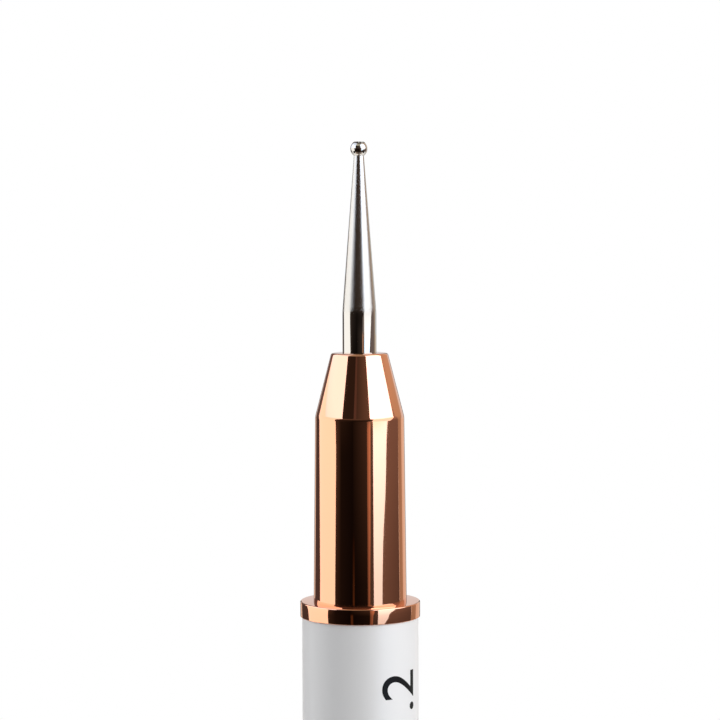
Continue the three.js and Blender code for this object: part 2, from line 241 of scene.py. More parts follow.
def end_fitting(name, position):
    """A fitting, drawn with its collar's foot at height 0 and then put in its position."""
    return turned(
        name,
        [
            (PLUG_BORE_RADIUS, tenon_foot),
            (tenon_radius, tenon_foot),
            (tenon_radius, 0),
            (collar_radius, 0),
            (collar_radius, COLLAR_LENGTH),
            (BARREL_ROOT_RADIUS, COLLAR_LENGTH),
            (BARREL_TOP_RADIUS, nose_height - CONE_LENGTH),
            (NOSE_RADIUS, nose_height),
            (NOSE_HOLE_RADIUS, nose_height),
            (NOSE_HOLE_RADIUS, nose_height - NOSE_LAND),
            (PLUG_BORE_RADIUS, nose_height - NOSE_LAND),
        ],
        rounded=[
            (1, TENON_CHAMFER),
            (3, COLLAR_FOOT_EDGE),
            (4, COLLAR_EDGE),
            (6, CONE_BLEND),
            (7, NOSE_EDGE),
        ],
        position=position,
    )


def unevenly_dull(tree, shader, size, roughness, **noise):
    """Lets the roughness wander between two values, in spots of about this size."""
    place = add_node(tree, "ShaderNodeTexCoord").outputs["Object"]
    spots = add_node(tree, "ShaderNodeTexNoise", {"Vector": place, "Scale": 1 / size, **noise})
    spread = add_node(tree, "ShaderNodeMapRange", {"Value": spots.outputs["Fac"],
                                                   "To Min": roughness[0],
                                                   "To Max": roughness[1]})
    tree.links.new(spread.outputs["Result"], shader.inputs["Roughness"])


# Rose-gold plating on buffed brass: a mirror with a copper cast. The buffing wheel leaves it
# very slightly wavy, so long reflections have edges that wander. Real turning lines are too
# fine to show, so they are drawn about a millimetre apart.
plating, tree, shader = surface("rose_gold_plating", Base_Color=colour(ROSE_GOLD), Metallic=1.0)
place = add_node(tree, "ShaderNodeTexCoord").outputs["Object"]
buffed = bumped(tree, shader, BUFFING_WAVE_SIZE, BUFFING_WAVE_HEIGHT, Detail=2.0, Roughness=0.4)
lines = add_node(tree, "ShaderNodeTexWave", {"Vector": place, "Distortion": 0.6,
                                             "Scale": 2 * pi / (WAVE_TURN * TURNING_LINE_SPACING)},
                 bands_direction="Z")
turning = add_node(tree, "ShaderNodeBump", {"Height": lines.outputs["Fac"], "Strength": 1.0,
                                            "Distance": TURNING_LINE_HEIGHT,
                                            "Normal": buffed.outputs["Normal"]})
tree.links.new(turning.outputs["Normal"], shader.inputs["Normal"])
unevenly_dull(tree, shader, HAZE_SIZE, HAZE_ROUGHNESS, Detail=3.0)

for end, position in (("dotting_end", at_dotting_end), ("brush_end", at_brush_end)):
    fitting = end_fitting(end + "_socket", position)
    fitting.data.materials.append(plating)
    ride_as(fitting, "brush", "rose_gold", end + "_fitting")

# Plugs: natural nylon mouldings, pushed into the fittings from behind, which grip the shanks.
# They are hidden in the fittings and the handle, so the engineering solids stay and get their
# finish.
NYLON = "#E9E2D0"
NYLON_GRAIN_SIZE = 0.35 * MM
NYLON_GRAIN_HEIGHT = 0.002 * MM
NYLON_DEPTH_OF_LIGHT = 0.5 * MM


def refinish(node, material):
    """Gives an engineering solid that stays its own finish."""
    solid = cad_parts[node]
    solid.data.materials.clear()
    solid.data.materials.append(material)


moulded_nylon, tree, shader = surface(
    "moulded_nylon",
    Base_Color=colour(NYLON),
    Roughness=0.55,
    Subsurface_Weight=0.1,
    Subsurface_Scale=NYLON_DEPTH_OF_LIGHT,
)
bumped(tree, shader, NYLON_GRAIN_SIZE, NYLON_GRAIN_HEIGHT)
refinish("dotting_end_plug", moulded_nylon)
refinish("brush_end_plug", moulded_nylon)

# Dotting needle: a stainless steel pin, drawn and polished where it leaves the nose, then
# ground to a long straight taper that is a little duller, down to the neck of the ball.
SHANK_RADIUS = 1.2 * MM
NECK_RADIUS = 0.35 * MM
TAPER_LENGTH = 10.97 * MM
SHANK_CHAMFER = 0.2 * MM
SHANK_FACETS = 96
TAPER_BLEND = 0.35 * MM
STAINLESS = "#D1CCC4"
POLISHED = 0.035
GROUND = 0.25
POLISHED_UNTIL = 0.25 * MM  # below the foot of the taper
GROUND_FROM = 0.2 * MM  # above it
GRINDING_LINE_SPACING = 0.754 * MM
GRINDING_LINE_HEIGHT = 0.00006 * MM

shank_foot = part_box("dotting_needle")[0].z
neck_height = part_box("dotting_needle")[1].z
taper_foot = neck_height - TAPER_LENGTH
needle = turned(
    "dotting_pin",
    [
        (0, shank_foot),
        (SHANK_RADIUS, shank_foot),
        (SHANK_RADIUS, taper_foot),
        (NECK_RADIUS, neck_height),
        (0, neck_height),
    ],
    rounded=[(1, SHANK_CHAMFER), (2, TAPER_BLEND)],
    facets=SHANK_FACETS,
)

# Stainless steel: mirror-bright on the shank, finely ground across the taper. The grinding
# lines are drawn coarser than real ones, which would be too fine to show.
steel, tree, shader = surface("polished_stainless_steel", Base_Color=colour(STAINLESS), Metallic=1.0)
place = add_node(tree, "ShaderNodeTexCoord").outputs["Object"]
height = add_node(tree, "ShaderNodeSeparateXYZ", {"Vector": place}).outputs["Z"]
dulling = add_node(tree, "ShaderNodeMapRange", {"Value": height,
                                                "From Min": taper_foot - POLISHED_UNTIL,
                                                "From Max": taper_foot + GROUND_FROM,
                                                "To Min": POLISHED, "To Max": GROUND},
                   interpolation_type="SMOOTHSTEP")
tree.links.new(dulling.outputs["Result"], shader.inputs["Roughness"])
lines = add_node(tree, "ShaderNodeTexWave", {"Vector": place, "Distortion": 2.5, "Detail": 2.0,
                                             "Scale": 2 * pi / (WAVE_TURN * GRINDING_LINE_SPACING)},
                 bands_direction="Z")
ground = add_node(tree, "ShaderNodeBump", {"Height": lines.outputs["Fac"], "Strength": 1.0,
                                           "Distance": GRINDING_LINE_HEIGHT})
tree.links.new(ground.outputs["Normal"], shader.inputs["Normal"])
needle.data.materials.append(steel)
ride_as(needle, "brush", "polished_steel", "dotting_needle")

# Dotting ball: a hardened steel ball, brazed on the neck and polished all over, which has left
# its tip a little flat.
BALL_RADIUS = 0.6 * MM
BALL_RINGS = 48
TIP_BLEND = 0.16 * MM
SCUFF_SIZE = MM / 6
SCUFF_ROUGHNESS = (0.02, 0.06)

ball_foot, ball_top = (corner.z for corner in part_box("dotting_ball"))
ball_centre = ball_foot + sqrt(BALL_RADIUS ** 2 - NECK_RADIUS ** 2)
bm = bmesh.new()
bmesh.ops.create_uvsphere(bm, u_segments=2 * BALL_RINGS, v_segments=BALL_RINGS, radius=BALL_RADIUS,
                          matrix=Matrix.Translation((0, 0, ball_centre)))
for level, outwards in ((ball_foot, -1), (ball_top, 1)):
    cut = bmesh.ops.bisect_plane(bm, geom=bm.verts[:] + bm.edges[:] + bm.faces[:],
                                 plane_co=(0, 0, level), plane_no=(0, 0, outwards), clear_outer=True)
    rim = [edge for edge in cut["geom_cut"] if isinstance(edge, bmesh.types.BMEdge)]
    bmesh.ops.contextual_create(bm, geom=rim)
bmesh.ops.bevel(bm, geom=rim, offset=TIP_BLEND, offset_type="OFFSET", affect="EDGES",
                segments=EDGE_SEGMENTS, profile=0.5, material=-1)
bmesh.ops.recalc_face_normals(bm, faces=bm.faces)
ball = finished("ball", bm)

# Ball steel: the same stainless colour, polished brighter, with a trace of scuffs from use.
polished_ball, tree, shader = surface(
    "polished_ball_steel", Base_Color=colour(STAINLESS), Metallic=1.0
)
unevenly_dull(tree, shader, SCUFF_SIZE, SCUFF_ROUGHNESS, Detail=3.0)
ball.data.materials.append(polished_ball)
ride_as(ball, "brush", "polished_steel", "dotting_ball")

# Hair ferrule: a thin brass tube, drawn to a slightly tapered mouth, nickel-plated, and rolled
# with two crimps next to the nose that lock the hair in it.
FERRULE_RADIUS = 1.2 * MM
FERRULE_MOUTH_RADIUS = 1.05 * MM
FERRULE_WALL = 0.15 * MM
FERRULE_TAPER = 2.8 * MM
CRIMP_HEIGHTS = (0.7 * MM, 1.4 * MM)
CRIMP_HALF_WIDTH = 0.15 * MM
CRIMP_DEPTH = 0.06 * MM
FERRULE_BLEND = 0.06 * MM
NICKEL = "#D6D2CA"
DRAWING_MARK_SIZE = 0.4 * MM
NICKEL_ROUGHNESS = (0.06, 0.14)

ferrule_foot = handle_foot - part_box("hair_ferrule")[1].z
ferrule_mouth = handle_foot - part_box("hair_ferrule")[0].z
taper_start = ferrule_mouth - FERRULE_TAPER
ferrule_profile = [(FERRULE_RADIUS - FERRULE_WALL, ferrule_foot), (FERRULE_RADIUS, ferrule_foot)]
crimp_corners = []
for crimp in CRIMP_HEIGHTS:
    middle = nose_height + crimp
    ferrule_profile.append((FERRULE_RADIUS, middle - CRIMP_HALF_WIDTH))
    ferrule_profile.append((FERRULE_RADIUS - CRIMP_DEPTH, middle))
    ferrule_profile.append((FERRULE_RADIUS, middle + CRIMP_HALF_WIDTH))
    crimp_corners += range(len(ferrule_profile) - 3, len(ferrule_profile))
mouth_corner = len(ferrule_profile) + 1
ferrule_profile += [
    (FERRULE_RADIUS, taper_start),
    (FERRULE_MOUTH_RADIUS, ferrule_mouth),
    (FERRULE_MOUTH_RADIUS - FERRULE_WALL, ferrule_mouth),
    (FERRULE_RADIUS - FERRULE_WALL, taper_start),
]
ferrule = turned(
    "ferrule",
    ferrule_profile,
    rounded=[(corner, FERRULE_BLEND) for corner in crimp_corners + [mouth_corner, mouth_corner + 1]],
    facets=SHANK_FACETS,
    position=at_brush_end,
)

# Bright nickel: slightly lighter and softer than the steel.
nickel, tree, shader = surface("bright_nickel", Base_Color=colour(NICKEL), Metallic=1.0)
unevenly_dull(tree, shader, DRAWING_MARK_SIZE, NICKEL_ROUGHNESS, Detail=2.0)
ferrule.data.materials.append(nickel)
ride_as(ferrule, "brush", "nickel", "hair_ferrule")

# Root resin: cured amber epoxy that bonds the hair inside the ferrule. It is hidden, so the
# engineering solid stays.
AMBER = "#B5853C"
EPOXY_CLOUD_SIZE = 0.556 * MM
EPOXY_ROUGHNESS = (0.18, 0.4)
EPOXY_DEPTH_OF_LIGHT = 0.4 * MM

epoxy, tree, shader = surface(
    "cured_amber_epoxy",
    Base_Color=colour(AMBER),
    Subsurface_Weight=0.3,
    Subsurface_Scale=EPOXY_DEPTH_OF_LIGHT,
)
unevenly_dull(tree, shader, EPOXY_CLOUD_SIZE, EPOXY_ROUGHNESS, Detail=3.0)
refinish("hair_root_resin", epoxy)

# Hair: a pointed round of fine tapered filament. It leaves the ferrule, swells to a belly and
# closes to a tip, with the outer hairs a little shorter, as a shaped detail brush has.
HAIR_COUNT = 1400
HAIR_RADIUS = 0.0165 * MM
HAIR_TIP_RADIUS = 0.004 * MM
HAIR_SIDES = 3
HAIR_RINGS = 6
HAIR_SEED = 7
TUFT_LENGTH = 9.5 * MM
ROOT_DEPTH = 1.6 * MM
ROOT_RADIUS = 0.8 * MM
MOUTH_RADIUS = 0.84 * MM
TIP_RADIUS = 0.07 * MM
EDGE_SHORTFALL = 2.6 * MM
RAGGEDNESS = 0.5 * MM
CORE_RAGGEDNESS = 0.3  # share of it that the middle hairs have
HAIR_WANDER = 0.02 * MM
BELLY_HANDLE = (2.6 * MM, 1.2 * MM)
POINT_HANDLE = (6.2 * MM, 0.52 * MM)
SILHOUETTE_POINTS = 64
HAIR_BROWN = "#B26A2C"
HAIR_DARK = "#3E2312"
DARK_UP_TO = 0.3
BROWN_FROM = 0.72
TONE_WIDTH = MM / 14
TONE_LENGTH = 4 * MM

silhouette = interpolate_bezier(
    Vector((0, MOUTH_RADIUS, 0)),
    Vector((*BELLY_HANDLE, 0)),
    Vector((*POINT_HANDLE, 0)),
    Vector((TUFT_LENGTH, TIP_RADIUS, 0)),
    SILHOUETTE_POINTS,
)


def tuft_radius(height):
    """Radius of the whole tuft at a height beyond the ferrule's mouth."""
    if height <= 0:
        share = -height / ROOT_DEPTH
        return MOUTH_RADIUS + (ROOT_RADIUS - MOUTH_RADIUS) * share
    for low, high in zip(silhouette, silhouette[1:]):
        if height <= high.x:
            share = (height - low.x) / (high.x - low.x)
            return low.y + (high.y - low.y) * share
    return TIP_RADIUS


single = bmesh.new()
bmesh.ops.create_cone(single, cap_ends=True, segments=HAIR_SIDES, radius1=1, radius2=1, depth=1,
                      matrix=Matrix.Translation((0, 0, 0.5)))
for ring in range(1, HAIR_RINGS):
    bmesh.ops.bisect_plane(single, geom=single.verts[:] + single.edges[:] + single.faces[:],
                           plane_co=(0, 0, ring / HAIR_RINGS), plane_no=(0, 0, 1))
hair_mesh = bpy.data.meshes.new("single_hair")
single.to_mesh(hair_mesh)
single.free()

rng = random.Random(HAIR_SEED)
golden_angle = pi * (3 - sqrt(5))
bm = bmesh.new()
for index in range(HAIR_COUNT):
    spread = sqrt((index + 0.5) / HAIR_COUNT)
    direction = index * golden_angle
    ragged = RAGGEDNESS * rng.random() ** 2 * (CORE_RAGGEDNESS + spread)
    tip = TUFT_LENGTH - EDGE_SHORTFALL * spread ** 2 - ragged
    lean = Vector((rng.gauss(0, 1), rng.gauss(0, 1))) * HAIR_WANDER
    first = len(bm.verts)
    bm.from_mesh(hair_mesh)
    bm.verts.ensure_lookup_table()
    for vert in bm.verts[first:]:
        share = vert.co.z
        height = -ROOT_DEPTH + (tip + ROOT_DEPTH) * share
        thickness = HAIR_RADIUS + (HAIR_TIP_RADIUS - HAIR_RADIUS) * share ** 3
        reach = max(0.0, tuft_radius(height) - thickness) * spread
        centre = Vector((cos(direction), sin(direction))) * reach + lean * share ** 2 * (1 - spread)
        vert.co.xy = centre + vert.co.xy * thickness
        vert.co.z = ferrule_mouth + height
bmesh.ops.transform(bm, matrix=at_brush_end, verts=bm.verts)
bmesh.ops.recalc_face_normals(bm, faces=bm.faces)
tuft = finished("hair", bm)
bpy.data.meshes.remove(hair_mesh)

# Filament: brown and slightly glossy, with long streaks from dark to light, so that each hair
# is a little different from the next.
filament, tree, shader = surface("brown_filament", Roughness=0.34, Specular_IOR_Level=0.3)
place = add_node(tree, "ShaderNodeTexCoord").outputs["Object"]
columns = add_node(tree, "ShaderNodeMapping", {"Vector": place, "Scale": (1 / TONE_WIDTH,
                                                                          1 / TONE_WIDTH,
                                                                          1 / TONE_LENGTH)})
shade = add_node(tree, "ShaderNodeTexNoise", {"Vector": columns.outputs["Vector"], "Scale": 1.0})
tones = add_node(tree, "ShaderNodeValToRGB", {"Fac": shade.outputs["Fac"]})
tones.color_ramp.elements[0].position = DARK_UP_TO
tones.color_ramp.elements[0].color = colour(HAIR_DARK)
tones.color_ramp.elements[1].position = BROWN_FROM
tones.color_ramp.elements[1].color = colour(HAIR_BROWN)
tree.links.new(tones.outputs["Color"], shader.inputs["Base Color"])
tuft.data.materials.append(filament)
ride_as(tuft, "brush", "hair", "hair_tuft")

# Cap: injection-moulded clear acrylic, pushed over the brush end until its mouth stops at the
# collar. Six fine ribs inside the mouth grip the barrel, and the far end is closed.
CAP_WALL = 0.81 * MM
CAP_DRAFT = 0.1 * MM
CAP_END_WALL = 1.5 * MM
CAP_END_ROUND = 0.6 * MM
CAP_BORE_ROUND = 0.5 * MM
CAP_MOUTH_EDGE = 0.08 * MM
RIB_COUNT = 6
RIB_SETBACK = 0.6 * MM
RIB_LENGTH = 8 * MM
RIB_HEIGHT = 0.1 * MM
RIB_FACETS = 3
FACETS_PER_RIB = 24
CLEAR_TINT = "#FAFCFC"
FLOW_MARK_SIZE = 4.545 * MM
FLOW_MARK_HEIGHT = 0.004 * MM

cap_end = handle_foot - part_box("brush_cap")[0].z
cap_mouth = handle_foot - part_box("brush_cap")[1].z
cap_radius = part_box("brush_cap")[1].x
bore_radius = cap_radius - CAP_WALL
bore_end = cap_end - CAP_END_WALL
rib_start = cap_mouth + RIB_SETBACK
rib_end = rib_start + RIB_LENGTH


def bore_at(height):
    """Radius of the drafted bore at a height."""
    return bore_radius - CAP_DRAFT * (height - cap_mouth) / (bore_end - cap_mouth)


cap = turned(
    "clear_cap",
    [
        (0, cap_end),
        (cap_radius - CAP_DRAFT, cap_end),
        (cap_radius, cap_mouth),
        (bore_radius, cap_mouth),
        (bore_at(rib_start), rib_start),
        (bore_at(rib_end), rib_end),
        (bore_at(bore_end), bore_end),
        (0, bore_end),
    ],
    rounded=[(1, CAP_END_ROUND), (2, CAP_MOUTH_EDGE), (3, CAP_MOUTH_EDGE), (6, CAP_BORE_ROUND)],
    facets=RIB_COUNT * FACETS_PER_RIB,
)
bm = bmesh.new()
bm.from_mesh(cap.data)
ribs = []
for face in bm.faces:
    middle = face.calc_center_median()
    on_bore = rib_start < middle.z < rib_end and middle.xy.length < bore_radius
    turn = atan2(middle.y, middle.x) / (2 * pi)
    facet = round(turn * RIB_COUNT * FACETS_PER_RIB - 0.5)
    if on_bore and facet % FACETS_PER_RIB < RIB_FACETS:
        ribs.append(face)
raised = bmesh.ops.extrude_face_region(bm, geom=ribs)
for vert in (v for v in raised["geom"] if isinstance(v, bmesh.types.BMVert)):
    vert.co.xy -= vert.co.xy.normalized() * RIB_HEIGHT
bmesh.ops.delete(bm, geom=ribs, context="FACES_ONLY")
bmesh.ops.transform(bm, matrix=at_brush_end, verts=bm.verts)
bmesh.ops.recalc_face_normals(bm, faces=bm.faces)
shade_smooth(bm)
bm.to_mesh(cap.data)
bm.free()

# Clear acrylic: hard, colourless and glossy, with the faint flow marks of moulding.
acrylic, tree, shader = surface(
    "clear_acrylic", Base_Color=colour(CLEAR_TINT), Roughness=0.02, IOR=1.49, Transmission_Weight=1.0
)
bumped(tree, shader, FLOW_MARK_SIZE, FLOW_MARK_HEIGHT, Detail=1.0)
cap.data.materials.append(acrylic)
ride_as(cap, "cap", "clear_acrylic", "brush_cap")

# Size mark: the ball's diameter, pad-printed in black ink along the handle, below the collar
# and reading upwards.
MARK_TEXT = "1.2"
MARK_SIZE = 4.4 * MM
MARK_CAP_HEIGHT = 3.05 * MM
MARK_END_BELOW_COLLAR = 3.5 * MM
MARK_AZIMUTH = radians(42.5)
INK_DEPTH = 0.004 * MM
INK_HEIGHT = 0.01 * MM
MARK_SLICES = 24
MARK_CURVE_STEPS = 8
MARK_MERGE_DISTANCE = 0.001 * MM
INK = "#060607"
INK_GRAIN_SIZE = MM / 7
INK_ROUGHNESS = (0.38, 0.55)

words = bpy.data.curves.new("size_mark_outline", "FONT")
words.body = MARK_TEXT
words.size = MARK_SIZE
words.resolution_u = MARK_CURVE_STEPS
outline = bpy.data.objects.new("size_mark_outline", words)
bpy.context.collection.objects.link(outline)
bpy.context.view_layer.update()
flat = bpy.data.meshes.new_from_object(outline.evaluated_get(bpy.context.evaluated_depsgraph_get()))
bpy.data.objects.remove(outline)
bpy.data.curves.remove(words)
bm = bmesh.new()
bm.from_mesh(flat)
bpy.data.meshes.remove(flat)
bmesh.ops.remove_doubles(bm, verts=bm.verts, dist=MARK_MERGE_DISTANCE)
for slice_index in range(1, MARK_SLICES):
    bmesh.ops.bisect_plane(bm, geom=bm.verts[:] + bm.edges[:] + bm.faces[:],
                           plane_co=(0, MARK_CAP_HEIGHT * slice_index / MARK_SLICES, 0),
                           plane_no=(0, 1, 0))
mark_width = max(vert.co.x for vert in bm.verts)
ink_film = bmesh.ops.extrude_face_region(bm, geom=bm.faces[:])
for vert in (v for v in ink_film["geom"] if isinstance(v, bmesh.types.BMVert)):
    vert.co.z = INK_DEPTH + INK_HEIGHT
for vert in bm.verts:
    radius = handle_radius - INK_DEPTH + vert.co.z
    azimuth = MARK_AZIMUTH - (vert.co.y - MARK_CAP_HEIGHT / 2) / handle_radius
    height = handle_top - MARK_END_BELOW_COLLAR - mark_width + vert.co.x
    vert.co = (radius * sin(azimuth), -radius * cos(azimuth), height)
bmesh.ops.recalc_face_normals(bm, faces=bm.faces)
size_mark = finished("size_mark", bm)

# Pad ink: a thin matt black film, a little uneven where the pad lifted off.
black_ink, tree, shader = surface(
    "black_pad_ink", Base_Color=colour(INK), Specular_IOR_Level=0.25
)
unevenly_dull(tree, shader, INK_GRAIN_SIZE, INK_ROUGHNESS, Detail=2.0)
size_mark.data.materials.append(black_ink)
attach(size_mark, "brush")

# Floor: a plain pale sweep, well below the tool, which is held in the air. Near the tool it
# takes its shadow, and further out it fades to the white of the backdrop.
FLOOR_DROP = 42 * MM
FLOOR_RADIUS = 6.0
FLOOR_FACETS = 96
SHADOW_RADIUS = 0.12
FADE_RADIUS = 0.36
FLOOR_COLOUR = "#F2F2F2"
FLOOR_LIFT = 0.3


def seen_white(tree):
    """1 for a ray that looks at the backdrop, straight or by way of metal or glass, and 0 for
    a ray that gathers light."""
    rays = add_node(tree, "ShaderNodeLightPath")
    camera_or_glossy = add_node(tree, "ShaderNodeMath", {0: rays.outputs["Is Camera Ray"],
                                                         1: rays.outputs["Is Glossy Ray"]},
                                operation="ADD")
    seen = add_node(tree, "ShaderNodeMath", {0: camera_or_glossy.outputs["Value"],
                                             1: rays.outputs["Is Transmission Ray"]},
                    operation="ADD", use_clamp=True)
    return seen.outputs["Value"]


floor_height = cad_box[0].z - FLOOR_DROP
bm = bmesh.new()
bmesh.ops.create_circle(bm, cap_ends=True, segments=FLOOR_FACETS, radius=FLOOR_RADIUS,
                        matrix=Matrix.Translation((0, 0, floor_height)))
floor = finished("floor", bm)
paper = bpy.data.materials.new("white_paper_sweep")
paper.use_nodes = True
tree = paper.node_tree
tree.nodes.clear()
place = add_node(tree, "ShaderNodeTexCoord").outputs["Object"]
flat_place = add_node(tree, "ShaderNodeMapping", {"Vector": place, "Scale": (1, 1, 0)})
distance = add_node(tree, "ShaderNodeVectorMath", {0: flat_place.outputs["Vector"]},
                    operation="LENGTH")
fade = add_node(tree, "ShaderNodeMapRange", {"Value": distance.outputs["Value"],
                                             "From Min": SHADOW_RADIUS, "From Max": FADE_RADIUS},
                interpolation_type="SMOOTHSTEP")
seen = seen_white(tree)
lift = add_node(tree, "ShaderNodeMath", {0: seen, 1: FLOOR_LIFT}, operation="MULTIPLY")
matt_paper = add_node(tree, "ShaderNodeBsdfDiffuse", {"Color": colour(FLOOR_COLOUR)})
glow = add_node(tree, "ShaderNodeEmission", {"Color": colour("#FFFFFF"),
                                             "Strength": lift.outputs["Value"]})
near = add_node(tree, "ShaderNodeAddShader", {0: matt_paper.outputs["BSDF"],
                                              1: glow.outputs["Emission"]})
far = add_node(tree, "ShaderNodeEmission", {"Strength": seen})
mixed = add_node(tree, "ShaderNodeMixShader", {0: fade.outputs["Result"], 1: near.outputs["Shader"],
                                               2: far.outputs["Emission"]})
facing = add_node(tree, "ShaderNodeNewGeometry")
nothing = add_node(tree, "ShaderNodeBsdfTransparent")
one_sided = add_node(tree, "ShaderNodeMixShader", {0: facing.outputs["Backfacing"],
                                                   1: mixed.outputs["Shader"],
                                                   2: nothing.outputs["BSDF"]})
add_node(tree, "ShaderNodeOutputMaterial", {"Surface": one_sided.outputs["Shader"]})
floor.data.materials.append(paper)

# Light: three softboxes stand round the tool, one at the left, a brighter one at the right and
# a weak one behind. They light the white lacquer, and the room fills in softly all round.
# Azimuths are in degrees from the camera's side, positive to the right.
LIGHT_DISTANCE = 450 * MM
LIGHT_FOOT = -0.05
LIGHT_HEAD = 0.55

# Each lamp is (name, azimuth, width, radiance).
LAMPS = (
    ("left_softbox_lamp", -105, 0.55, 1.53),
    ("right_softbox_lamp", 62, 0.58, 2.3),
    ("back_softbox_lamp", -172, 0.5, 0.7),
)
ROOM_FILL = 0.48
BACKDROP_WHITE = 1.0


def around(azimuth, distance, height):
    """A point round the tool at an azimuth in degrees."""
    turn = radians(azimuth)
    return Vector((distance * sin(turn), -distance * cos(turn), height))


for name, azimuth, width, radiance in LAMPS:
    data = bpy.data.lights.new(name, "AREA")
    data.shape = "RECTANGLE"
    data.size = width
    data.size_y = LIGHT_HEAD - LIGHT_FOOT
    data.energy = radiance * pi * data.size * data.size_y
    lamp = bpy.data.objects.new(name, data)
    lamp.location = around(azimuth, LIGHT_DISTANCE, (LIGHT_FOOT + LIGHT_HEAD) / 2)
    lamp.rotation_euler = (pi / 2, 0, radians(azimuth))
    lamp.visible_camera = False
    lamp.visible_glossy = False
    lamp.visible_transmission = False
    bpy.context.collection.objects.link(lamp)
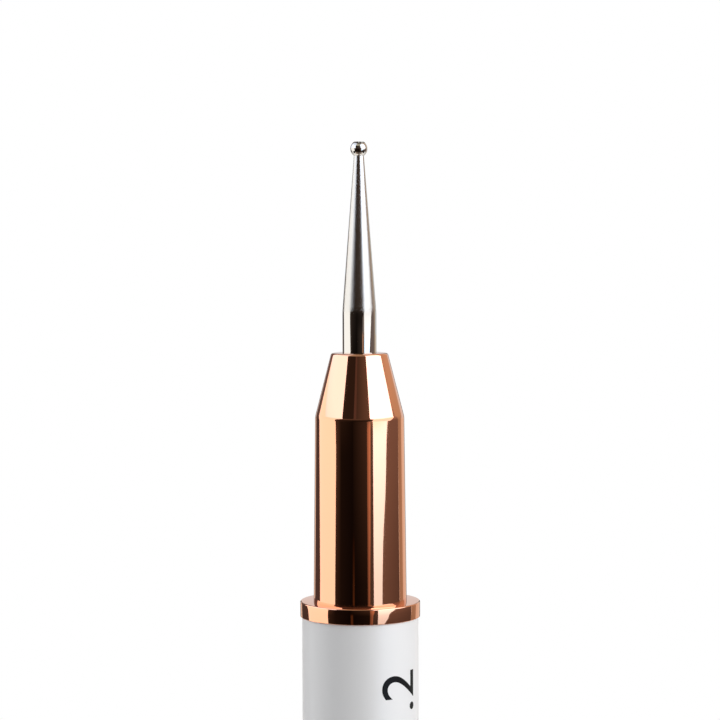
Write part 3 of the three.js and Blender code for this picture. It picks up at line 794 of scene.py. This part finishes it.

# Reflections: painted reflections of the fabric of the two front softboxes, and of the cards and
# flags that a studio sets round polished metal. These glowing sheets stand out of the picture, light
# nothing and show only in the metal, where they paint its highlights and dark bands. Each card has
# one colour, and rows of (height, left azimuth, right azimuth, and how brightly each end glows).
CARD_DISTANCE = 300 * MM
STRIP_DISTANCE = 290 * MM
CARD_FOOT = -0.15
CARD_HEAD = 0.8
CARD_COLUMNS = 16
HALF_CARD = 0.5
CHARCOAL = "#4A3F39"
PALE_GREY = "#E8EAED"
PAINTED_REFLECTION_CARDS = {
    "painted_reflection_of_left_softbox_face": ("#FFFFFF", (
        (-0.045, -116, -64.5, 1.36, 1.36),
        (0.02, -118, -64.5, 1.4, 1.4),
        (0.053, -127, -63, 1.5, 1.5),
        (0.068, -128, -67, 1.5, 1.5),
        (0.11, -134, -66, 1.45, 1.45),
        (0.135, -134, -46, 1.5, 1.5),
    )),
    "painted_reflection_of_left_softbox_head": ("#DDE9FF", (
        (0.135, -134, -46, 1.9, 1.9),
        (0.145, -134, -46, 2.2, 2.2),
        (0.17, -135, -47, 2.35, 2.35),
        (0.28, -135, -52, 2.35, 2.35),
        (0.36, -135, -49, 1.6, 1.6),
        (CARD_HEAD, -135, -49, 1.1, 1.0),
    )),
    "painted_reflection_of_right_softbox_foot": ("#D0E7FF", (
        (-0.045, 34, 46, 1.45, 1.45),
        (0.0, 34, 55, 1.65, 1.65),
        (0.02, 34, 56.5, 1.85, 1.85),
        (0.032, 34, 59.5, 2.2, 2.2),
        (0.044, 34, 68, 2.45, 2.45),
        (0.057, 34, 73, 2.8, 2.8),
        (0.061, 34, 78, 2.7, 2.7),
    )),
    "painted_reflection_of_right_softbox_face": ("#F8FAFF", (
        (0.061, 34, 78, 2.1, 2.1),
        (0.068, 33, 86, 1.7, 1.7),
        (0.08, 32, 89, 1.6, 1.6),
        (0.12, 36.5, 101, 1.65, 1.65),
        (0.13, 29, 100, 2.1, 2.1),
    )),
    "painted_reflection_of_right_softbox_head": ("#DCE8FF", (
        (0.13, 29, 100, 2.6, 2.6),
        (0.145, 27, 99, 3.8, 3.8),
        (0.28, 27.5, 97, 3.7, 3.7),
        (0.5, 25, 94, 2.2, 2.2),
    )),
    "painted_reflection_of_dark_card_behind_left": ("#B0A0A2", (
        (-0.02, -150, -116.5, 0.15, 0.15),
        (0.02, -150, -118, 0.17, 0.17),
        (0.053, -152, -127, 0.18, 0.18),
        (0.11, -160, -134, 0.33, 0.33),
        (CARD_HEAD, -165, -135, 0.58, 0.58),
    )),
    "painted_reflection_of_rim_of_left_flag": (CHARCOAL, (
        (CARD_FOOT, -64.5, -48, 0.34, 0.12),
        (0.02, -64.5, -48, 0.48, 0.17),
        (0.053, -63, -48, 1.1, 0.14),
        (0.068, -67, -50, 1.1, 0.4),
        (0.11, -66, -50, 0.6, 0.4),
        (0.12, -58, -43.5, 1.6, 1.5),
        (0.135, -46, -34, 1.6, 1.5),
        (0.145, -46, -34, 0.42, 0.37),
        (0.28, -52, -36, 0.63, 0.4),
        (0.3, -52, -36, 1.5, 1.2),
    )),
    "painted_reflection_of_left_flag": (CHARCOAL, (
        (CARD_FOOT, -48, -17, 0.12, 0.05),
        (0.02, -48, -17, 0.17, 0.06),
        (0.053, -48, -17, 0.14, 0.09),
        (0.068, -50, -17, 0.4, 0.12),
        (0.11, -50, -17, 0.4, 0.25),
        (0.12, -43.5, -17, 1.5, 1.35),
        (0.135, -34, -17, 1.5, 1.35),
        (0.145, -34, -16, 0.37, 0.37),
        (0.28, -36, -16, 0.4, 0.4),
        (0.3, -36, -16, 1.2, 0.9),
    )),
    "painted_reflection_of_brown_slit": ("#564541", (
        (0.135, -17, -17, 0.7, 0.7),
        (0.145, -16, -9, 1.0, 1.0),
        (0.3, -16, -9, 1.05, 1.05),
    )),
    "painted_reflection_of_right_flag": (CHARCOAL, (
        (CARD_FOOT, -17, 18.5, 0.05, 0.08),
        (0.02, -17, 18.5, 0.06, 0.17),
        (0.035, -17, 18.5, 0.09, 0.37),
        (0.063, -17, 18.5, 0.17, 0.75),
        (0.068, -17, 20, 0.14, 0.35),
        (0.08, -17, 26, 0.14, 0.45),
        (0.11, -17, 33, 0.25, 0.67),
        (0.12, -17, 36.5, 1.35, 1.6),
        (0.135, -17, 28.5, 1.35, 1.6),
        (0.145, -9, 27, 0.79, 2.0),
        (0.28, -9, 27.5, 0.79, 2.0),
        (0.3, -9, 27.5, 1.1, 2.4),
    )),
    "painted_reflection_of_pale_card_above": ("#E0DCC8", (
        (0.3, -52, 27.5, 0.12, 0.18),
        (0.32, -52, 27, 0.19, 0.21),
        (0.4, -49, 26, 1.0, 0.7),
        (CARD_HEAD, -49, 25, 0.5, 0.42),
    )),
    "painted_reflection_of_copper_card": ("#A87E68", (
        (CARD_FOOT, 18.5, 24, 0.25, 0.65),
        (0.02, 18.5, 24.5, 0.3, 0.9),
        (0.035, 18.5, 26, 0.5, 1.3),
        (0.058, 18.5, 27.5, 0.8, 1.9),
        (0.063, 18.5, 27.5, 0.8, 1.9),
    )),
    "painted_reflection_of_dark_strip": ("#7A706C", (
        (-0.045, 24, 34, 0.25, 0.25),
        (0.02, 24.5, 34, 0.33, 0.4),
        (0.035, 26, 34, 0.38, 0.45),
        (0.063, 27.5, 34, 0.5, 0.6),
    )),
    "painted_reflection_of_grey_strip": ("#7A706C", (
        (0.063, 18.5, 34, 0.4, 2.4),
        (0.068, 20, 33, 0.4, 2.4),
        (0.08, 26, 32, 0.4, 1.6),
        (0.11, 33, 36, 0.3, 0.7),
    )),
    "painted_reflection_of_brown_card_right": ("#7A6A66", (
        (-0.045, 46, 115, 0.51, 0.46),
        (0.0, 55, 115, 0.75, 0.48),
        (0.02, 56.5, 115, 0.82, 0.54),
        (0.032, 59.5, 115, 0.92, 0.66),
        (0.044, 68, 116, 1.0, 0.85),
        (0.057, 73, 117, 1.04, 1.0),
        (0.061, 78, 117, 1.04, 1.05),
        (0.068, 86, 117, 1.05, 1.1),
        (0.08, 89, 117, 1.1, 1.22),
        (0.12, 101, 112, 1.9, 2.27),
        (0.145, 99, 102, 2.03, 2.27),
        (0.28, 97, 101, 1.9, 2.0),
        (CARD_HEAD, 94, 96, 1.5, 1.5),
    )),
    "painted_reflection_of_tan_card_behind_right": ("#C4B09C", (
        (-0.02, 115, 134, 0.61, 0.69),
        (0.063, 117, 134, 0.71, 0.82),
        (0.12, 112, 145, 0.98, 1.13),
        (0.145, 102, 150, 1.1, 1.24),
        (CARD_HEAD, 96, 150, 1.25, 1.36),
    )),
    "painted_reflection_of_pale_card_low": (PALE_GREY, (
        (CARD_FOOT, 115, 244, 1.06, 0.84),
        (-0.02, 115, 244, 1.06, 0.84),
    )),
    "painted_reflection_of_warm_card_behind": ("#EEE1D4", (
        (-0.02, 134, 210, 0.87, 0.87),
        (0.02, 134, 210, 0.91, 0.89),
        (0.053, 134, 208, 0.95, 0.91),
        (0.063, 134, 206.6, 0.95, 0.91),
    )),
    "painted_reflection_of_pale_card_behind": (PALE_GREY, (
        (0.063, 134, 206.6, 0.95, 0.91),
        (0.11, 143, 200, 0.95, 0.91),
        (0.12, 145, 200, 0.95, 0.91),
        (0.145, 150, 199.8, 0.95, 0.91),
        (CARD_HEAD, 150, 195, 0.99, 0.97),
    )),
}

# The narrow strips of painted reflection stand a little in front of the cards.
PAINTED_REFLECTION_STRIPS = {
    "painted_reflection_of_copper_slit": ("#A5724C", (
        (CARD_FOOT, -18, -13.5, 0.17, 0.17),
        (0.02, -18, -13.5, 0.17, 0.17),
        (0.027, -18, -13.5, 0.09, 0.09),
        (0.035, -18, -13.5, 0.03, 0.03),
    )),
    "painted_reflection_of_strip_behind_right": (CHARCOAL, (
        (CARD_FOOT, 163, 172, 0.26, 0.26),
        (CARD_HEAD, 163, 172, 0.6, 0.6),
    )),
    "painted_reflection_of_strip_behind_left": (CHARCOAL, (
        (CARD_FOOT, 188, 197, 0.26, 0.26),
        (CARD_HEAD, 188, 197, 0.6, 0.6),
    )),
}

# The painted reflections of a ceiling and of cloths on the floor lie flat; the camera sees no
# ceiling or cloth there. Their rows are (y, left x, right x, and how brightly each end glows).
PAINTED_CEILING_HEIGHT = 0.82
PAINTED_CEILING_HALF = 0.33
PAINTED_CEILING_REFLECTION = {
    "painted_reflection_of_grey_ceiling": ("#8C877F", (
        (-PAINTED_CEILING_HALF, -PAINTED_CEILING_HALF, PAINTED_CEILING_HALF, 1.0, 0.52),
        (PAINTED_CEILING_HALF, -PAINTED_CEILING_HALF, PAINTED_CEILING_HALF, 1.0, 0.52),
    )),
}
PAINTED_CLOTH_REFLECTIONS = {
    "painted_reflection_of_black_cloth_in_front": ("#4E4038", (
        (-0.9, -0.6, 0.6, 0.08, 0.08),
        (-0.27, -0.6, 0.6, 0.1, 0.1),
        (-0.18, -0.5, 0.5, 0.95, 1.1),
    )),
    "painted_reflection_of_brown_cloth_left": ("#D0B8A7", (
        (-0.18, -0.2, -0.02, 0.1, 0.1),
        (-0.09, -0.2, -0.02, 1.0, 0.35),
        (-0.035, -0.2, -0.02, 1.0, 0.35),
    )),
    "painted_reflection_of_brown_cloth_right": ("#D8CCC2", (
        (-0.18, -0.02, 0.2, 0.08, 0.1),
        (-0.09, -0.02, 0.2, 0.18, 1.18),
        (-0.035, -0.02, 0.2, 0.18, 1.18),
    )),
    "painted_reflection_of_black_cloth_left": (CHARCOAL, (
        (-0.18, -0.5, -0.2, 0.2, 0.2),
        (0.06, -0.5, -0.24, 0.2, 0.2),
    )),
    "painted_reflection_of_black_cloth_right": (CHARCOAL, (
        (-0.18, 0.2, 0.5, 0.2, 0.2),
        (0.06, 0.24, 0.5, 0.2, 0.2),
    )),
    "painted_reflection_of_black_cloth_behind": (CHARCOAL, (
        (0.18, -0.09, 0.09, 0.26, 0.26),
        (0.9, -0.4, 0.4, 0.26, 0.26),
    )),
}


def set_painted_reflections(sheets, place_of):
    """Makes each sheet as a glowing card of painted reflection, with its painted brightness blended
    from row to row and end to end. The place of a point follows from its side and its level."""
    for name, (card_colour, rows) in sheets.items():
        bm = bmesh.new()
        tint = bm.loops.layers.float_color.new("tint")
        last_row = len(rows) - 1
        bmesh.ops.create_grid(bm, x_segments=CARD_COLUMNS, y_segments=last_row, size=HALF_CARD)
        red, green, blue, opaque = colour(card_colour)
        tints = {}
        for vert in bm.verts:
            across = vert.co.x + HALF_CARD
            row = round((vert.co.y + HALF_CARD) * last_row)
            level, left, right, left_light, right_light = rows[row]
            light = left_light + (right_light - left_light) * across
            tints[vert] = (red * light, green * light, blue * light, opaque)
            vert.co = place_of(left + (right - left) * across, level)
        for face in bm.faces:
            for loop in face.loops:
                loop[tint] = tints[loop.vert]
        card = finished(name, bm)
        card.data.materials.append(painted_reflection_material)
        card.visible_camera = False
        card.visible_diffuse = False
        card.visible_shadow = False


# The cards are painted reflections: they glow in the metal, also where it is seen through the
# clear cap, and nothing else sees them.
painted_reflection_material = bpy.data.materials.new("painted_reflection_sheet")
painted_reflection_material.use_nodes = True
tree = painted_reflection_material.node_tree
tree.nodes.clear()
tint = add_node(tree, "ShaderNodeVertexColor", layer_name="tint")
glow = add_node(tree, "ShaderNodeEmission", {"Color": tint.outputs["Color"], "Strength": 1.0})
rays = add_node(tree, "ShaderNodeLightPath")
mirrored = add_node(tree, "ShaderNodeMath", {0: rays.outputs["Glossy Depth"]},
                    operation="GREATER_THAN")
nothing = add_node(tree, "ShaderNodeBsdfTransparent")
lit = add_node(tree, "ShaderNodeMixShader", {0: mirrored.outputs["Value"],
                                             1: nothing.outputs["BSDF"],
                                             2: glow.outputs["Emission"]})
add_node(tree, "ShaderNodeOutputMaterial", {"Surface": lit.outputs["Shader"]})

set_painted_reflections(PAINTED_REFLECTION_CARDS, lambda azimuth, height: around(azimuth, CARD_DISTANCE, height))
set_painted_reflections(PAINTED_REFLECTION_STRIPS, lambda azimuth, height: around(azimuth, STRIP_DISTANCE, height))
set_painted_reflections(PAINTED_CEILING_REFLECTION, lambda x, y: Vector((x, y, PAINTED_CEILING_HEIGHT)))
set_painted_reflections(PAINTED_CLOTH_REFLECTIONS, lambda x, y: Vector((x, y, floor_height + MM)))

# Room: plain and white to whoever looks at it, and a softer fill to the surfaces it lights.
world = bpy.data.worlds.new("white_room")
bpy.context.scene.world = world
world.use_nodes = True
tree = world.node_tree
tree.nodes.clear()
level = add_node(tree, "ShaderNodeMapRange", {"Value": seen_white(tree), "To Min": ROOM_FILL,
                                              "To Max": BACKDROP_WHITE})
room = add_node(tree, "ShaderNodeBackground", {"Color": colour("#FFFFFF"),
                                               "Strength": level.outputs["Result"]})
add_node(tree, "ShaderNodeOutputWorld", {"Surface": room.outputs["Background"]})
